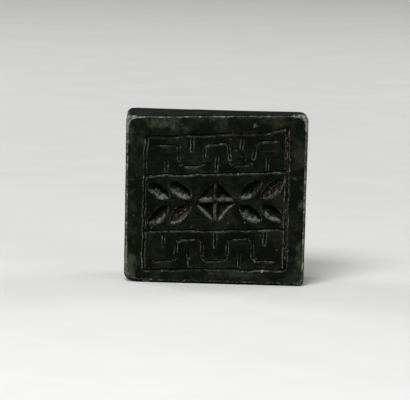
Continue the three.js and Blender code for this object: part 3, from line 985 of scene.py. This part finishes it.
def dried_paste(settings):
    """Dull brown-red crumbs with stone dust on them."""
    material, n = new_material("dried_paste")
    place = n.add("ShaderNodeTexCoord").outputs["Object"]
    crumbs = n.noise(place, 4200.0, 5.0, 0.7)
    dark = tuple(0.35 * part for part in settings.paste_colour)
    colour = n.blend(n.step(crumbs, 0.35, 0.65), dark, settings.paste_colour)
    dust = n.step(n.noise(place, 2400.0, 4.0, 0.6), 0.54, 0.70, 0.0, 0.6)
    colour = n.blend(dust, colour, settings.stained_stone)
    bump = n.add("ShaderNodeBump", inputs={"Height": crumbs})
    bump.inputs["Strength"].default_value = 0.8
    bump.inputs["Distance"].default_value = PASTE_BUMP
    surface = n.add("ShaderNodeBsdfPrincipled", inputs={
        "Base Color": colour, "Roughness": n.step(crumbs, 0.2, 0.8, 0.78, 0.98),
        "Normal": bump.outputs["Normal"],
    })
    surface.inputs["Specular IOR Level"].default_value = 0.05
    end = n.add("ShaderNodeOutputMaterial")
    n.feed(surface.outputs["BSDF"], end.inputs["Surface"])
    return material


def background_share(n):
    """1 for rays that show the background, to the camera or in gloss and glass."""
    path = n.add("ShaderNodeLightPath").outputs
    shown = n.maths("MAXIMUM", path["Is Camera Ray"], path["Is Glossy Ray"])
    return n.maths("MAXIMUM", shown, path["Is Transmission Ray"])


def pale_table(settings):
    """Pale wherever it is seen, and quieter in the light that it throws back on the stone."""
    material, n = new_material("pale_table")
    place = n.add("ShaderNodeTexCoord").outputs["Object"]
    tone = n.step(n.noise(place, 60.0, 4.0, 0.6), 0.3, 0.7, 0.97, 1.0)
    shaded = n.add("ShaderNodeVectorMath", operation="SCALE")
    n.feed(tuple(settings.table_colour), shaded.inputs[0])
    n.feed(tone, shaded.inputs["Scale"])
    colour = n.blend(background_share(n), (0.06, 0.06, 0.06), shaded.outputs[0])
    surface = n.add("ShaderNodeBsdfPrincipled", inputs={"Base Color": colour})
    surface.inputs["Roughness"].default_value = 0.9
    surface.inputs["Specular IOR Level"].default_value = 0.1
    end = n.add("ShaderNodeOutputMaterial")
    n.feed(surface.outputs["BSDF"], end.inputs["Surface"])
    return material


# The table, the lamps and the camera

# The table in metres: half its width, its front, a line before the seal, and where it bends up
TABLE_HALF, TABLE_FRONT, TABLE_LINE, TABLE_BACK = 2.4, -2.4, -0.3, 1.3
# The bend's radius, its number of steps, and the height of the backdrop
BEND, BEND_STEPS, BACKDROP = 0.5, 16, 1.8
# The lamps' diameter and the middle of the seal, in metres
LAMP_SIZE = 0.30
SEAL_MIDDLE = (0.0, 0.0, 0.014)
# Each lamp: its place in metres, its power in watts, and what it is turned to
LAMPS = {
    "overhead_lamp": ((-0.10, -0.06, 0.52), 0.12, SEAL_MIDDLE),
    "front_lamp": ((-0.14, -0.40, 0.43), 3.0, SEAL_MIDDLE),
    "right_lamp": ((0.42, -0.42, 0.12), 0.8, SEAL_MIDDLE),
    "back_right_lamp": ((0.54, 0.34, 0.14), 2.2, SEAL_MIDDLE),
    "back_left_lamp": ((-0.54, 0.34, 0.14), 2.2, SEAL_MIDDLE),
    # Turned away from the seal, for the table behind it
    "table_lamp": ((0.0, 0.45, 0.60), 1.3, (0.0, 1.05, 0.0)),
}
# The light of the room: on the seal, and as it is seen
ROOM_LIGHT, ROOM_SEEN = 0.14, 0.5
# The photo's width and the seal's scale in it, in pixels and pixels per millimetre
PHOTO_WIDTH = 410
PHOTO_SCALE = 6.0
# The middle of the printing face in metres, and how many pixels right of and above the
# picture's middle it is seen
FACE_MIDDLE = (0.0001, CAD_LOW.y, 0.0142)
SEEN_AT = (10.6, 0.0)
# The camera's sensor in millimetres, and how near and far it sees in metres
SENSOR_WIDTH = 36.0
NEAREST_SEEN, FARTHEST_SEEN = 0.01, 20.0


def add_table(settings):
    """A table top that sweeps up into a backdrop."""
    work = bmesh.new()
    profile = [(TABLE_FRONT, 0.0), (TABLE_LINE, 0.0), (TABLE_BACK, 0.0)]
    for k in range(1, BEND_STEPS + 1):
        turn = k / BEND_STEPS * math.pi / 2
        profile.append((TABLE_BACK + BEND * math.sin(turn), BEND * (1 - math.cos(turn))))
    profile.append((TABLE_BACK + BEND, BACKDROP))
    rows = [[work.verts.new((x, y, z)) for x in (-TABLE_HALF, TABLE_HALF)] for y, z in profile]
    for low, high in zip(rows, rows[1:]):
        work.faces.new((low[0], low[1], high[1], high[0]))
    mesh = bpy.data.meshes.new("table_top")
    work.to_mesh(mesh)
    work.free()
    for polygon in mesh.polygons:
        polygon.use_smooth = True
    mesh.materials.append(pale_table(settings))
    table = bpy.data.objects.new("table_top", mesh)
    bpy.context.scene.collection.objects.link(table)


def add_lamp(name, at, power, target):
    """A round lamp, turned to its target."""
    lamp = bpy.data.lights.new(name, "AREA")
    lamp.shape = "DISK"
    lamp.size = LAMP_SIZE
    lamp.energy = power
    holder = bpy.data.objects.new(name, lamp)
    holder.location = at
    holder.rotation_euler = (Vector(at) - Vector(target)).to_track_quat("Z", "Y").to_euler()
    bpy.context.scene.collection.objects.link(holder)


def add_camera(settings):
    """Square on to the printing face, a little above the table, with a long lens."""
    pixel = MM / PHOTO_SCALE
    height = settings.camera_elevation
    forward = Vector((0.0, math.cos(height), -math.sin(height)))
    level = Vector((1.0, 0.0, 0.0))
    upright = level.cross(forward)
    turn = settings.camera_roll
    right = level * math.cos(turn) + upright * math.sin(turn)
    up = upright * math.cos(turn) - level * math.sin(turn)
    aim = Vector(FACE_MIDDLE) - right * SEEN_AT[0] * pixel - up * SEEN_AT[1] * pixel
    data = bpy.data.cameras.new("camera")
    data.sensor_width = SENSOR_WIDTH
    data.lens = data.sensor_width * settings.camera_distance / (PHOTO_WIDTH * pixel)
    data.clip_start = NEAREST_SEEN
    data.clip_end = FARTHEST_SEEN
    camera = bpy.data.objects.new("camera", data)
    axes = Matrix((right, up, -forward)).transposed().to_4x4()
    camera.matrix_world = Matrix.Translation(aim - forward * settings.camera_distance) @ axes
    bpy.context.scene.collection.objects.link(camera)
    bpy.context.scene.camera = camera


def add_world():
    """An even white room, brighter where it is seen than in the light that it gives."""
    world = bpy.data.worlds.new("studio")
    world.use_nodes = True
    n = Nodes(world.node_tree)
    world.node_tree.nodes.clear()
    level = n.add("ShaderNodeMix", data_type="FLOAT", inputs={
        0: background_share(n), 2: ROOM_LIGHT, 3: ROOM_SEEN,
    })
    light = n.add("ShaderNodeBackground", inputs={"Strength": level.outputs[0]})
    light.inputs["Color"].default_value = (1.0, 1.0, 1.0, 1.0)
    end = n.add("ShaderNodeOutputWorld")
    n.feed(light.outputs[0], end.inputs["Surface"])
    bpy.context.scene.world = world


class SEAL_OT_stage(bpy.types.Operator):
    """Set the table, the lamps, the world and the camera"""

    bl_idname = "seal.stage"
    bl_label = "Table and lamps"

    def execute(self, context):
        settings = context.scene.seal_stamp
        context.scene.view_settings.view_transform = "Standard"
        add_table(settings)
        for name, (at, power, target) in LAMPS.items():
            add_lamp(name, at, power, target)
        add_world()
        add_camera(settings)
        if context.scene.camera is None:
            raise RuntimeError("the scene has no camera")
        return {"FINISHED"}


class SEAL_PT_panel(bpy.types.Panel):
    """Lists the steps and the settings"""

    bl_idname = "SEAL_PT_panel"
    bl_label = "Carved stone seal"
    bl_space_type = "VIEW_3D"
    bl_region_type = "UI"
    bl_category = "Seal"

    def draw(self, context):
        for operator in (SEAL_OT_stone, SEAL_OT_paste, SEAL_OT_stage):
            self.layout.operator(operator.bl_idname)
        for name in SealSettings.__annotations__:
            self.layout.prop(context.scene.seal_stamp, name)


CLASSES = (SealSettings, SEAL_OT_stone, SEAL_OT_paste, SEAL_OT_stage, SEAL_PT_panel)


def register():
    for item in CLASSES:
        bpy.utils.register_class(item)
    bpy.types.Scene.seal_stamp = PointerProperty(type=SealSettings)


def unregister():
    del bpy.types.Scene.seal_stamp
    for item in reversed(CLASSES):
        bpy.utils.unregister_class(item)


def main():
    register()
    bpy.ops.seal.stage()
    bpy.ops.seal.stone()
    bpy.ops.seal.paste()


if __name__ == "__main__":
    main()
